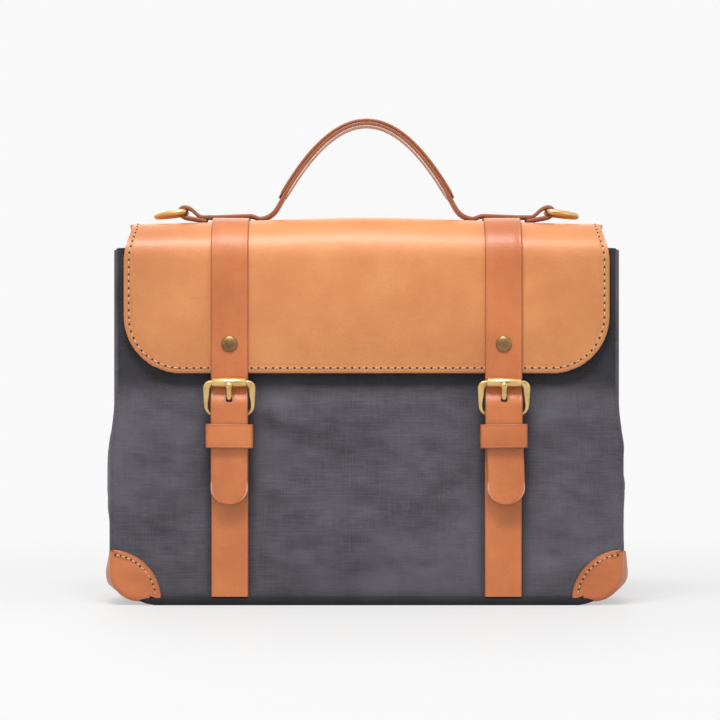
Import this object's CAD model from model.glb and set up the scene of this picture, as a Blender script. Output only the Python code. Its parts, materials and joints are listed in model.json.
import json
import math

import bmesh
import bpy
from mathutils import Matrix, Vector, noise


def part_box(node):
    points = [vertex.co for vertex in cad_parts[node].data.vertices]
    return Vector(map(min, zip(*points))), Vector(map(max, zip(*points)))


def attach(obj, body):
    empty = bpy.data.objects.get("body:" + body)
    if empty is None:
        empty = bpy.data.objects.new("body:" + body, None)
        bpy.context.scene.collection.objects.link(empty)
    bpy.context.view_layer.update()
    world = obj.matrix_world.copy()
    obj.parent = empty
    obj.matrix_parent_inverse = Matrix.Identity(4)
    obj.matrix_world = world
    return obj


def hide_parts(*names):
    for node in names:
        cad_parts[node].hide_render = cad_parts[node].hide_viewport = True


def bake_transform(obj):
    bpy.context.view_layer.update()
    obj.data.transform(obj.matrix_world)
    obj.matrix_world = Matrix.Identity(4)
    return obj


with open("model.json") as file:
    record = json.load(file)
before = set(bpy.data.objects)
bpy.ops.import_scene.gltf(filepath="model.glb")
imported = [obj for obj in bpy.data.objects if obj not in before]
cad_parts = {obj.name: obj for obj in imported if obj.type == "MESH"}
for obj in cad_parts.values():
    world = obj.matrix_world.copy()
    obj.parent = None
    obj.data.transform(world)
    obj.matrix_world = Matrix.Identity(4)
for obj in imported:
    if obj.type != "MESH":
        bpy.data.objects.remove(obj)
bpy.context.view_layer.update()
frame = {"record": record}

bl_info = {
    "name": "Canvas and leather messenger bag",
    "version": (1, 0, 0),
    "blender": (4, 5, 0),
    "location": "3D View > Sidebar > Bag",
    "description": "Builds the cloth, leather and brass of a messenger bag round its frame",
    "category": "Add Mesh",
}

MM = 0.001
SIDES = (("left", -1), ("right", 1))

# Places that come from the frame, in metres
PANEL_LOW, PANEL_HIGH = (Vector(p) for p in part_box("front_panel"))
BACK_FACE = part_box("back_panel")[1][1]
BACK_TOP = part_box("back_panel")[1][2]
FRONT_FACE = PANEL_LOW.y
MIDDLE_Y = (FRONT_FACE + BACK_FACE) / 2
BASE_TOP = PANEL_LOW.z
MOUTH_Z = PANEL_HIGH.z
FLAP_LOW, FLAP_HIGH = (Vector(p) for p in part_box("flap_leather"))
FLAP_T = 2.2 * MM
ANCHOR_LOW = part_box("flap_anchor")[0][2]
ANCHOR_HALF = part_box("flap_anchor")[1][0]
MOUTH_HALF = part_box("mouth_binding")[1][0] - 0.8 * MM
STRAP_LOW, STRAP_HIGH = (Vector(p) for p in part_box("flap_strap_right"))
STRAP_X = (STRAP_LOW.x + STRAP_HIGH.x) / 2
STRAP_W = STRAP_HIGH.x - STRAP_LOW.x
STRAP_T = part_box("lower_strap_right")[1][1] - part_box("lower_strap_right")[0][1] + 0.1 * MM
CHAPE_LOW, CHAPE_HIGH = (Vector(p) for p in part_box("chape_right"))
KEEPER_LOW, KEEPER_HIGH = (Vector(p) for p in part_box("keeper_right"))
RIVET_LOW, RIVET_HIGH = (Vector(p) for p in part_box("rivet_right"))
HANDLE_LOW, HANDLE_HIGH = (Vector(p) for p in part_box("handle_pad"))
FOOT_LOW, FOOT_HIGH = (Vector(p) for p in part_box("handle_foot_right"))
ROLLER_LOW, ROLLER_HIGH = (Vector(p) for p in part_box("buckle_roller_right"))
SOCKET_LOW, SOCKET_HIGH = (Vector(p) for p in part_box("snap_socket_right"))
JOINTS = {joint["name"]: joint for joint in frame["record"]["behaviour"]["joints"]}
HINGE = Vector(JOINTS["flap_hinge"]["pos_m"])
HEEL = Vector(JOINTS["prong_swing_right"]["pos_m"])
ROLLER = Vector(JOINTS["roller_spin_right"]["pos_m"])
RING_BAR = Vector(JOINTS["ring_swing_right"]["pos_m"])
LEAN_Z = JOINTS["handle_lean"]["pos_m"][2]


# ---- Sizes and colours that a user would change ----

def length(name, description, millimetres):
    return bpy.props.FloatProperty(
        name=name, description=description, default=millimetres * MM, unit="LENGTH")


def colour(name, description, red, green, blue):
    """A colour property whose default is given as 8-bit display values."""
    linear = [(c / 255 / 12.92) if c < 11 else ((c / 255 + 0.055) / 1.055) ** 2.4
              for c in (red, green, blue)]
    return bpy.props.FloatVectorProperty(
        name=name, description=description, size=3, min=0, max=1, default=linear, subtype="COLOR")


class BagSizes(bpy.types.PropertyGroup):
    corner_radius: length("Corner radius", "Radius of the panels' lower corners", 18.6)
    puff: length("Puff", "How far the front cloth stands out between the straps", 4.0)
    flare: length("Flare", "How far the lower sides stand out", 3.2)
    side_puff: length("Side puff", "How far the gusset bulges past the panels' seams", 4.2)
    unevenness: length("Unevenness", "Height of the cloth's soft creases", 3.2)
    cloth: length("Cloth", "Thickness of the canvas", 1.6)
    crown: length("Crown", "Drop of the flap's top from the middle to the ends", 4.4)
    crest: length("Crest", "Rise of the middle of the flap's top", 0.6)
    flap_corner: length("Flap corner", "Radius of the flap's lower corners", 39.0)
    flap_bend: length("Flap bend", "Radius of the flap's bend over the front", 30.0)
    patch_radius: length("Patch radius", "Reach of a corner patch from its corner", 34.0)
    strap_edge: length("Strap edge", "Radius of a strap's worn edge", 0.8)
    strap_crease: length("Strap crease", "Distance of a strap's pressed line from its edge", 1.9)


class StitchSizes(bpy.types.PropertyGroup):
    flap_pitch: length("Flap pitch", "Spacing of the flap's stitches", 4.9)
    patch_pitch: length("Patch pitch", "Spacing of the patches' stitches", 3.9)
    handle_pitch: length("Handle pitch", "Spacing of the handle's stitches", 4.2)
    inset: length("Inset", "Distance of the stitches from an edge", 3.5)
    thread: length("Thread", "Radius of the thread", 0.45)


class BagColours(bpy.types.PropertyGroup):
    canvas: colour("Canvas", "Waxed canvas", 92, 89, 97)
    canvas_dark: colour("Dark canvas", "Canvas in its hollows and on the base", 48, 46, 52)
    flap: colour("Flap", "Leather of the flap", 213, 138, 78)
    flap_dark: colour("Flap, dark", "Deeper patches of the flap's leather", 201, 122, 65)
    strap: colour("Strap", "Leather of the straps", 202, 116, 60)
    strap_dark: colour("Strap, dark", "Deeper patches of the straps' leather", 182, 98, 47)
    flesh: colour("Flesh side", "Undyed back of the leather", 214, 182, 168)
    handle: colour("Handle", "Leather of the handle strap", 190, 112, 70)
    lining: colour("Lining", "Lining cloth", 171, 148, 116)
    thread: colour("Thread", "Waxed thread", 214, 184, 142)
    hole: colour("Hole", "Shadow in a hole", 40, 24, 16)
    brass: colour("Brass", "Satin brass", 226, 190, 128)
    antique: colour("Antique brass", "Darkened brass of the rivets", 150, 118, 78)
    steel: colour("Steel", "Satin steel of the snaps", 196, 194, 190)


def sizes():
    return bpy.context.scene.bag_sizes


def stitch_sizes():
    return bpy.context.scene.bag_stitches


def colours():
    return bpy.context.scene.bag_colours


# ---- Shapes ----

def smooth(t):
    """Eases from 0 to 1 as t goes from 0 to 1."""
    t = min(max(t, 0.0), 1.0)
    return t * t * (3 - 2 * t)


def mix(a, b, t):
    return a + (b - a) * t


def crumple(across, along, seed, size=0.05):
    """Soft unevenness of cloth or leather at a place, mostly between -1 and 1."""
    place = Vector((across / size, along / size, seed))
    return (noise.noise(place) + 0.5 * noise.noise(place * 2.2) + 0.22 * noise.noise(place * 4.7))


def arc(centre, radius, start, end, steps):
    """Points (a, b) of an arc, angles in degrees."""
    angles = [math.radians(mix(start, end, i / steps)) for i in range(steps + 1)]
    return [(centre[0] + radius * math.cos(t), centre[1] + radius * math.sin(t)) for t in angles]


def even(points, step):
    """The same path with rounded corners between points about one step apart."""
    points = [Vector(p) for p in points]
    lengths = [0.0]
    for a, b in zip(points, points[1:]):
        lengths.append(lengths[-1] + (b - a).length)
    count = max(2, round(lengths[-1] / step))
    result = []
    i = 0
    for k in range(count + 1):
        goal = lengths[-1] * k / count
        while i < len(points) - 2 and lengths[i + 1] < goal:
            i += 1
        span = lengths[i + 1] - lengths[i]
        result.append(points[i].lerp(points[i + 1], (goal - lengths[i]) / span if span else 0))
    return result


def soften(points, times, closed=False):
    """The path with its kinks averaged out; open ends stay where they are."""
    for _ in range(times):
        last = len(points) - 1
        points = [
            p if not closed and i in (0, last)
            else (points[i - 1] + 2 * p + points[(i + 1) % len(points)]) / 4
            for i, p in enumerate(points)]
    return points


def steps_along(points):
    """Distance along the path at each point."""
    total = [0.0]
    for a, b in zip(points, points[1:]):
        total.append(total[-1] + (b - a).length)
    return total


def outwards(path, across, i, closed=False):
    """Unit vector square to the path and to the across direction."""
    last = len(path) - 1
    before = path[i - 1] if (i > 0 or closed) else path[0]
    after = path[(i + 1) % len(path)] if closed else path[min(i + 1, last)]
    return (after - before).cross(across).normalized()


def rounded(width, height, radius, steps=4, crease=None, crown=0.0):
    """A strap's section as (across, out): rounded corners, a crowned outer face and pressed lines."""
    a, b = width / 2 - radius, height / 2 - radius
    corners = []
    for cx, cy, start in ((a, -b, -90), (a, b, 0), (-a, b, 90), (-a, -b, 180)):
        corners.append(arc((cx, cy), radius, start, start + 90, steps))
    outer = []
    if crease:
        for sign in (1, -1):
            line = sign * (width / 2 - crease)
            dip = [(line + sign * 0.45 * MM, 0.0), (line, -0.14 * MM), (line - sign * 0.45 * MM, 0.0)]
            outer.append(dip if sign > 0 else dip[::-1])
    middle = [(a * t, 0.0) for t in (0.5, 0.0, -0.5)]
    top = (outer[0] if outer else []) + middle + (outer[1] if outer else [])
    top = [(x, height / 2 + y + crown * (1 - (2 * x / width) ** 2)) for x, y in top]
    under = [(a * t, -height / 2) for t in (-0.5, 0.0)]
    return [(a * 0.5, -height / 2)] + corners[0] + corners[1] + top + corners[2] + corners[3] + under


def circle(radius, sides=12):
    return arc((0, 0), radius, 0, 360 - 360 / sides, sides - 1)


def grid(columns, rows, place, flat=None, edge=None):
    """A sheet whose points come from place(column, row). flat gives its UV place in metres, and
    edge how near a point is to a leather edge, for the finish to read."""
    bm = bmesh.new()
    bmesh.ops.create_grid(bm, x_segments=columns, y_segments=rows, size=0.5)
    layer = bm.loops.layers.uv.new("cloth")
    worn = bm.verts.layers.float.new("edge")
    spots = {v: (round((v.co.x + 0.5) * columns), round((v.co.y + 0.5) * rows)) for v in bm.verts}
    for face in bm.faces:
        for loop in face.loops:
            column, row = spots[loop.vert]
            loop[layer].uv = flat(column, row) if flat else (column * MM, row * MM)
    for v, (column, row) in spots.items():
        v.co = place(column, row)
        v[worn] = edge(column, row) if edge else 0.0
    return bm


def sweep(path, across, section, closed=False, size=None, tone=None):
    """A section carried along a path. size(i) gives how wide and how thick it is at each point, and
    tone(i) how its edges are finished, from 1, burnished, to -1, freshly cut."""
    count = len(path)
    span = steps_along(path + path[:1] if closed else path)
    girth = [0.0]
    for a, b in zip(section, section[1:] + section[:1]):
        girth.append(girth[-1] + math.dist(a, b))
    outs = [outwards(path, across if isinstance(across, Vector) else across(i), i, closed)
            for i in range(count)]

    def place(column, row):
        i = row % count
        a, b = section[column % len(section)]
        wide, thick = size(i) if size else (1, 1)
        side = across if isinstance(across, Vector) else across(i)
        return path[i] + side * (a * wide) + outs[i] * (b * thick)

    widest = max(abs(a) for a, b in section)
    worn = [smooth(1 - (widest - abs(a)) / (1.3 * MM)) for a, b in section + section[:1]]
    flat = lambda column, row: (girth[column], span[row])
    edge = lambda column, row: worn[column] * (tone(row % count) if tone else 1)
    bm = grid(len(section), count if closed else count - 1, place, flat, edge)
    bmesh.ops.remove_doubles(bm, verts=bm.verts[:], dist=1e-6)
    ends = [e for e in bm.edges if e.is_boundary]
    if ends:
        bmesh.ops.holes_fill(bm, edges=ends, sides=0)
    bmesh.ops.recalc_face_normals(bm, faces=bm.faces[:])
    return bm


def face_away(bm, centre):
    """Turns an open sheet so that it faces away from a point."""
    bm.normal_update()
    total = sum((f.normal.dot(f.calc_center_median() - centre) * f.calc_area() for f in bm.faces))
    if total < 0:
        bmesh.ops.reverse_faces(bm, faces=bm.faces[:])
        bm.normal_update()


def thicken(bm, thickness):
    """Gives a sheet its thickness behind its face."""
    bm.normal_update()
    behind = bm.verts.layers.float_vector.new("behind")
    for v in bm.verts:
        v[behind] = v.normal * -thickness
    made = bmesh.ops.extrude_face_region(bm, geom=bm.faces[:], use_keep_orig=True)["geom"]
    for v in made:
        if isinstance(v, bmesh.types.BMVert):
            v.co += v[behind]
    bm.verts.layers.float_vector.remove(behind)
    bmesh.ops.recalc_face_normals(bm, faces=bm.faces[:])


def join(target, source):
    """Adds a bmesh to another, with its UVs."""
    mesh = bpy.data.meshes.new("joined")
    source.to_mesh(mesh)
    source.free()
    target.from_mesh(mesh)
    bpy.data.meshes.remove(mesh)


def piece(name, bm, finish, body, slot, replaces=()):
    """Makes the object, with its finish, body, slot and the frame's nodes that it stands for."""
    mesh = bpy.data.meshes.new(name)
    bm.to_mesh(mesh)
    bm.free()
    mesh.materials.append(finish)
    obj = bpy.data.objects.new(name, mesh)
    bpy.context.scene.collection.objects.link(obj)
    mesh.shade_smooth()
    mesh.set_sharp_from_angle(angle=math.radians(50))
    if body:
        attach(obj, body)
    if replaces:
        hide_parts(*replaces)
    return obj


# ---- Finishes ----

class Wire:
    """A shader socket that Python arithmetic works on."""

    def __init__(self, finish, socket):
        self.finish = finish
        self.socket = socket

    def math(self, operation, *values):
        return self.finish.node("ShaderNodeMath", {"operation": operation}, dict(enumerate(values)))

    def __add__(self, other):
        return self.math("ADD", self, other)

    def __radd__(self, other):
        return self.math("ADD", other, self)

    def __sub__(self, other):
        return self.math("SUBTRACT", self, other)

    def __rsub__(self, other):
        return self.math("SUBTRACT", other, self)

    def __mul__(self, other):
        return self.math("MULTIPLY", self, other)

    def __rmul__(self, other):
        return self.math("MULTIPLY", other, self)

    def clamp(self):
        return self.finish.node("ShaderNodeClamp", {}, {"Value": self})

    def wave(self, pitch):
        """0..1 ripple with the given pitch in metres."""
        return self.math("SINE", self * (2 * math.pi / pitch)) * 0.5 + 0.5

    def between(self, low, high):
        """0 at low, 1 at high, eased."""
        settings = {"interpolation_type": "SMOOTHSTEP"}
        return self.finish.node("ShaderNodeMapRange", settings,
                                {"Value": self, "From Min": low, "From Max": high})


class Finish:
    """One material under construction."""

    def __init__(self, name):
        self.material = bpy.data.materials.new(name)
        self.material.use_nodes = True
        self.tree = self.material.node_tree
        self.surface = self.tree.nodes["Principled BSDF"]

    def node(self, kind, settings, values, output=0):
        made = self.tree.nodes.new(kind)
        for key, value in settings.items():
            if key == "ramp":
                self.set_ramp(made, value)
            else:
                setattr(made, key, value)
        for key, value in values.items():
            self.put(made.inputs[key], value)
        return Wire(self, made.outputs[output])

    def set_ramp(self, made, stops):
        elements = made.color_ramp.elements
        while len(elements) < len(stops):
            elements.new(0.5)
        for element, (position, level) in zip(elements, stops):
            element.position = position
            element.color = (level, level, level, 1)

    def put(self, socket, value):
        if isinstance(value, Wire):
            self.tree.links.new(value.socket, socket)
        elif socket.type == "RGBA" and len(value) == 3:
            socket.default_value = (*value, 1)
        else:
            socket.default_value = value

    def constant(self, **values):
        names = {"sheen": "Sheen Weight", "sheen_roughness": "Sheen Roughness", "coat": "Coat Weight",
                 "coat_roughness": "Coat Roughness", "specular": "Specular IOR Level",
                 "metallic": "Metallic", "roughness": "Roughness"}
        for key, value in values.items():
            self.surface.inputs[names[key]].default_value = value

    def place(self):
        return self.node("ShaderNodeTexCoord", {}, {}, "Object")

    def weave_place(self):
        return self.node("ShaderNodeUVMap", {"uv_map": "cloth"}, {})

    def stretch(self, vector, scale):
        settings = {"operation": "MULTIPLY"}
        return self.node("ShaderNodeVectorMath", settings, {0: vector, 1: scale})

    def noise(self, vector, scale, detail=3.0, roughness=0.55):
        values = {"Vector": vector, "Scale": scale, "Detail": detail, "Roughness": roughness}
        return self.node("ShaderNodeTexNoise", {}, values)

    def cells(self, vector, scale, feature="DISTANCE_TO_EDGE"):
        settings = {"feature": feature}
        return self.node("ShaderNodeTexVoronoi", settings, {"Vector": vector, "Scale": scale}, "Distance")

    def edge(self):
        return self.node("ShaderNodeAttribute", {"attribute_name": "edge"}, {}, "Fac")

    def blend(self, amount, first, second, mode="MIX"):
        settings = {"data_type": "RGBA", "blend_type": mode}
        return self.node("ShaderNodeMix", settings, {0: amount, 6: first, 7: second}, 2)

    def bump(self, height, strength, distance):
        values = {"Height": height, "Strength": strength, "Distance": distance}
        self.put(self.surface.inputs["Normal"], self.node("ShaderNodeBump", {}, values))

    def use(self, colour=None, roughness=None):
        if colour is not None:
            self.put(self.surface.inputs["Base Color"], colour)
        if roughness is not None:
            self.put(self.surface.inputs["Roughness"], roughness)
        return self.material


def scaled(colour, factor):
    return tuple(min(1.0, c * factor) for c in colour)


def finish_once(make):
    """Makes a material the first time that it is asked for."""
    kept = {}

    def get(*key):
        if key not in kept:
            kept[key] = make(*key)
        return kept[key]
    return get


@finish_once
def canvas_finish(kind):
    """Waxed canvas: a fine diagonal weave, slubs along the weft and rubbed, cloudy wax."""
    light, dark = colours().canvas, colours().canvas_dark
    if kind == "tape":
        light, dark = scaled(dark, 0.5), scaled(dark, 0.25)
    finish = Finish("canvas_" + kind)
    cloth = finish.weave_place()
    place = finish.place()
    axes = finish.node("ShaderNodeSeparateXYZ", {}, {"Vector": cloth}, 0)
    across = axes
    along = Wire(finish, axes.socket.node.outputs[1])
    twill = (across + along).wave(1.5 * MM)
    threads = across.wave(0.62 * MM) * along.wave(0.62 * MM)
    slub = finish.noise(finish.stretch(cloth, (55, 820, 1)), 1.0, 2.0)
    warp = finish.noise(finish.stretch(cloth, (900, 40, 1)), 1.0, 2.0)
    cloud = finish.noise(place, 26, 5.0, 0.6)
    broad = finish.noise(place, 9, 3.0)
    shade = cloud.between(0.3, 0.72) * 0.55 + broad.between(0.3, 0.7) * 0.45
    tone = finish.blend(shade, scaled(light, 0.5), scaled(light, 1.4))
    fleck = (slub.between(0.35, 0.7) * 0.6 + warp.between(0.4, 0.75) * 0.4)
    tone = finish.blend(fleck * 0.6, tone, scaled(light, 1.6))
    gaps = (1 - twill) * 0.5 + (1 - threads) * 0.15
    tone = finish.blend(gaps, tone, scaled(dark, 0.8))
    if kind == "front":
        tone = finish.blend(finish.edge() * 0.75, tone, scaled(dark, 0.3))
    finish.constant(sheen=0.12, sheen_roughness=0.45, specular=0.3)
    finish.bump(twill * 0.35 + threads * 0.3 + slub * 0.8 + cloud * 0.6, 0.55, 0.5 * MM)
    return finish.use(tone, 0.78 - cloud.between(0.4, 0.7) * 0.14)


def leather(name, light, dark, edge_dark=0.55, grain=1.0, roughness=0.46):
    """Vegetable tanned leather: cloudy dye, pebbled grain, pores and a burnished, darker edge."""
    finish = Finish(name)
    place = finish.place()
    cloud = finish.noise(place, 22, 4.0, 0.6)
    mottle = finish.noise(place, 110, 4.0, 0.62)
    pores = finish.noise(place, 900, 2.0, 0.5)
    pebble = finish.cells(place, 760 * grain)
    folds = finish.noise(finish.stretch(place, (60, 60, 260)), 1.0, 3.0)
    tone = finish.blend(cloud.between(0.28, 0.74), dark, light)
    tone = finish.blend(mottle.between(0.45, 0.8) * 0.14, tone, scaled(light, 1.18))
    tone = finish.blend((1 - pores.between(0.3, 0.52)) * 0.12, tone, scaled(dark, 0.62))
    tone = finish.blend(folds.between(0.62, 0.78) * 0.2, tone, scaled(dark, 0.7))
    tone = finish.blend(finish.edge().clamp() * edge_dark, tone, scaled(dark, 0.42))
    tone = finish.blend((0 - finish.edge()).clamp() * 0.8, tone, colours().flesh)
    height = pebble.between(0.0, 0.35) * 0.5 + mottle * 0.6 + pores * 0.25 + folds * 0.8
    finish.constant(specular=0.5, coat=0.4, coat_roughness=0.38)
    finish.bump(height, 0.26, 0.35 * MM)
    return finish.use(tone, roughness + cloud.between(0.3, 0.7) * 0.1 - mottle.between(0.5, 0.8) * 0.08)


@finish_once
def flap_finish():
    return leather("flap_leather_finish", colours().flap, colours().flap_dark, 0.5)


@finish_once
def strap_finish():
    return leather("strap_leather_finish", colours().strap, colours().strap_dark, 0.6, 1.1, 0.44)


@finish_once
def handle_finish():
    return leather("handle_leather_finish", colours().handle, scaled(colours().handle, 0.8), 0.65, 1.2, 0.52)


@finish_once
def pad_finish():
    light = colours().strap
    return leather("pad_leather_finish", light, colours().strap_dark, 0.7, 1.2, 0.42)


@finish_once
def flesh_finish():
    """The pale, slightly hairy back of the leather."""
    finish = Finish("flesh_side_finish")
    place = finish.place()
    cloud = finish.noise(place, 40, 3.0)
    nap = finish.noise(place, 700, 3.0)
    tone = finish.blend(cloud.between(0.3, 0.7), scaled(colours().flesh, 0.88), colours().flesh)
    finish.constant(sheen=0.1, specular=0.25)
    finish.bump(nap, 0.2, 0.2 * MM)
    return finish.use(tone, 0.82 - nap * 0.08)


@finish_once
def lining_finish():
    """Plain woven cotton."""
    finish = Finish("lining_cloth_finish")
    cloth = finish.weave_place()
    axes = finish.node("ShaderNodeSeparateXYZ", {}, {"Vector": cloth}, 0)
    along = Wire(finish, axes.socket.node.outputs[1])
    threads = axes.wave(0.8 * MM) * along.wave(0.8 * MM)
    cloud = finish.noise(finish.place(), 30, 4.0)
    tone = finish.blend(cloud.between(0.3, 0.7), scaled(colours().lining, 0.82), colours().lining)
    tone = finish.blend((1 - threads) * 0.3, tone, scaled(colours().lining, 0.55))
    finish.constant(sheen=0.15, specular=0.25)
    finish.bump(threads * 0.6 + cloud, 0.4, 0.3 * MM)
    return finish.use(tone, 0.85 - cloud * 0.08)


@finish_once
def thread_finish():
    """Waxed, twisted thread."""
    finish = Finish("thread_finish")
    place = finish.place()
    strands = finish.noise(place, 1500, 2.0)
    tone = finish.blend(strands.between(0.3, 0.7), scaled(colours().thread, 0.72), colours().thread)
    finish.constant(specular=0.35, sheen=0.1)
    finish.bump(strands, 0.4, 0.1 * MM)
    return finish.use(tone, 0.6 - strands * 0.1)


@finish_once
def hole_finish():
    finish = Finish("hole_finish")
    speck = finish.noise(finish.place(), 900, 2.0)
    tone = finish.blend(speck, colours().hole, scaled(colours().hole, 2.2))
    return finish.use(tone, 0.9 - speck * 0.1)


@finish_once
def metal_finish(kind):
    """Brushed and slightly worn metal."""
    light = {"brass": colours().brass, "antique": colours().antique, "steel": colours().steel}[kind]
    finish = Finish(kind + "_finish")
    place = finish.place()
    brush = finish.noise(finish.stretch(place, (160, 2600, 2600)), 1.0, 2.0)
    cloud = finish.noise(place, 160, 4.0, 0.6)
    spots = finish.noise(place, 620, 3.0, 0.6)
    worn = {"brass": 0.35, "antique": 0.75, "steel": 0.25}[kind]
    tone = finish.blend(cloud.between(0.42, 0.75) * worn, light, scaled(light, 0.42))
    tone = finish.blend(spots.between(0.62, 0.75) * worn * 0.6, tone, scaled(light, 0.3))
    finish.constant(metallic=1.0)
    finish.bump(brush * 0.5 + spots * 0.5, 0.16, 0.1 * MM)
    base = {"brass": 0.27, "antique": 0.4, "steel": 0.34}[kind]
    return finish.use(tone, base + cloud.between(0.4, 0.7) * 0.12 + brush * 0.06)


# ---- The bag's outline ----

def side_half(z):
    """Half the width between the panels' side seams at a height."""
    return MOUTH_HALF + sizes().flare * smooth((0.140 - z) / 0.036)


def corner_centre():
    return Vector((side_half(0) - sizes().corner_radius, BASE_TOP + sizes().corner_radius))


def outline(steps=70):
    """The panels' outline as (x, z), from the left of the mouth down and round to the right."""
    centre = corner_centre()
    side = [(side_half(z), z) for z in (mix(MOUTH_Z, centre.y, i / steps) for i in range(steps))]
    turn = arc(centre, sizes().corner_radius, 0, -90, 12)
    right = side + turn
    base = [(mix(-centre.x, centre.x, i / 40), BASE_TOP) for i in range(1, 40)]
    return [(-x, z) for x, z in right] + base + right[::-1]


def panel_rows(top):
    """Heights of the rows of a panel, close together round its lower corners."""
    centre = corner_centre()
    side = [mix(top, centre.y, i / 80) for i in range(80)]
    return side + [z for x, z in arc(centre, sizes().corner_radius, 0, -90, 12)]


def panel_half(z):
    """Half the width of a panel at a height, rounded at its lower corners."""
    centre = corner_centre()
    if z > MOUTH_Z:
        return mix(side_half(z), ANCHOR_HALF - 4 * MM, smooth((z - MOUTH_Z) / (3 * MM)))
    if z >= centre.y:
        return side_half(z)
    return centre.x + math.sqrt(max(0, sizes().corner_radius ** 2 - (centre.y - z) ** 2))


def clear_of_straps(x):
    return smooth((abs(abs(x) - STRAP_X) - STRAP_W / 2 - 1 * MM) / (20 * MM))


def puff(x, z, seed):
    """How far a panel's cloth stands out from the plane of its seams."""
    rim = smooth((panel_half(z) - abs(x)) / (26 * MM)) * smooth((z - BASE_TOP) / (30 * MM))
    under_flap = 1 - 0.7 * smooth((z - 0.136) / 0.02)
    loose = clear_of_straps(x) * rim
    pull = 0.5 * crumple(x * 0.45, z, seed + 4, 0.03)
    lumps = crumple(x, z * 1.5, seed, 0.055) + pull
    small = 0.4 * crumple(x * 0.7 + z * 0.4, z * 1.3 - x * 0.2, seed + 9, 0.016)
    recess = 1.6 * MM * smooth((z - 0.138) / 0.016) * smooth((panel_half(z) - abs(x)) / (20 * MM))
    return loose * (under_flap * (sizes().puff * 0.75 + sizes().unevenness * (lumps + small)) - recess)


SEEDS = {-1: 2, 1: 7}     # of the creases of the front and back cloth


def cloth_panel(face, outward, top):
    """A front or back panel of canvas at y = face."""
    seed = SEEDS[outward]
    rows = panel_rows(top)
    columns = 150

    def place(column, row):
        z = rows[row]
        x = (2 * column / columns - 1) * panel_half(z)
        return Vector((x, face + outward * puff(x, z, seed), z))

    def unfaded(column, row):
        z = rows[row]
        x = (2 * column / columns - 1) * panel_half(z)
        under_flap = smooth((z - 0.137) / 0.02)
        by_strap = 1 - smooth((abs(abs(x) - STRAP_X) - STRAP_W / 2) / (7 * MM))
        by_seam = 1 - smooth((z - BASE_TOP) / (10 * MM))
        return max(under_flap, 0.6 * by_strap, 0.5 * by_seam)

    flat = lambda column, row: ((2 * column / columns - 1) * panel_half(rows[row]), rows[row])
    bm = grid(columns, len(rows) - 1, place, flat, unfaded)
    face_away(bm, Vector((0, MIDDLE_Y, 0.12)))
    thicken(bm, sizes().cloth)
    return bm


def declare_panel(top):
    """Says how large a panel's canvas was cut."""
    rows = panel_rows(top)
    area = sum((a - b) * (panel_half(a) + panel_half(b)) for a, b in zip(rows, rows[1:]))
    widest = 2 * max(panel_half(z) for z in rows)


def gusset_push(x, z, t):
    """How far the gusset bulges out of its seams' line, t across its depth from 0 to 1."""
    side = smooth((z - BASE_TOP) / (14 * MM))
    full = mix(0.25, 1.0, smooth((0.150 - z) / 0.05))
    lumps = crumple(mix(FRONT_FACE, BACK_FACE, t) * 0.8, z, 11 + (x > 0) * 5, 0.035)
    push = sizes().side_puff * full + 0.9 * sizes().unevenness * lumps
    return math.sin(math.pi * t) ** 0.7 * side * smooth((MOUTH_Z - z) / 0.03) * push


def path_normal(path, i):
    """Outward unit vector (x, 0, z) of the outline at a point."""
    before, after = Vector(path[max(i - 1, 0)]), Vector(path[min(i + 1, len(path) - 1)])
    tangent = (after - before).normalized()
    return Vector((tangent.y, 0, -tangent.x))


def gusset_cloth():
    """The strip of canvas round the sides and bottom, soft between its two seams."""
    path = outline()
    columns = 26
    along = steps_along([Vector(p) for p in path])

    def place(column, row):
        x, z = path[row]
        t = column / columns
        y = mix(FRONT_FACE + 0.6 * MM, BACK_FACE - 0.6 * MM, t)
        return Vector((x, y, z)) + path_normal(path, row) * gusset_push(x, z, t)

    flat = lambda column, row: (column / columns * (BACK_FACE - FRONT_FACE), along[row])
    bm = grid(columns, len(path) - 1, place, flat)
    face_away(bm, Vector((0, MIDDLE_Y, 0.12)))
    thicken(bm, sizes().cloth)
    return bm


def seam_roll(face, outward):
    """The rolled seam that joins a panel to the gusset."""
    line = outline()
    path = []
    for i, (x, z) in enumerate(line):
        away = math.hypot(abs(x) - patch_corner(1).x, z - BASE_TOP)
        covered = 1 - smooth((away - sizes().patch_radius + 4 * MM) / (3 * MM))
        inwards = path_normal(line, i) * (1.6 * MM * covered)
        path.append(Vector((x, face - outward * (0.9 + 1.2 * covered) * MM, z)) - inwards)
    return sweep(path, Vector((0, -1, 0)), circle(1.5 * MM, 10))


# ---- The flap ----

def sag(x, out):
    """How far the flap's top, and all that lies on it, hangs below its frame at a place across."""
    drop = sizes().crown * smooth(abs(x) / FLAP_HIGH.x) - sizes().crest
    return Vector((0, 0, drop * smooth((out.z - 0.2) / 0.8)))


def flap_path():
    """The flap's outer face from the side, from the leather on the back over the top to the front edge."""
    turn = 4 * MM
    back = BACK_FACE + FLAP_T + 0.1 * MM
    bend = sizes().flap_bend
    low = [(back, ANCHOR_LOW)]
    over = arc((back - turn, FLAP_HIGH.z - turn), turn, 0, 90, 8)
    front = arc((FLAP_LOW.y + bend, FLAP_HIGH.z - bend), bend, 90, 180, 24)
    return [Vector((0, y, z)) for y, z in low + over + front + [(FLAP_LOW.y, FLAP_LOW.z)]]


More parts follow.
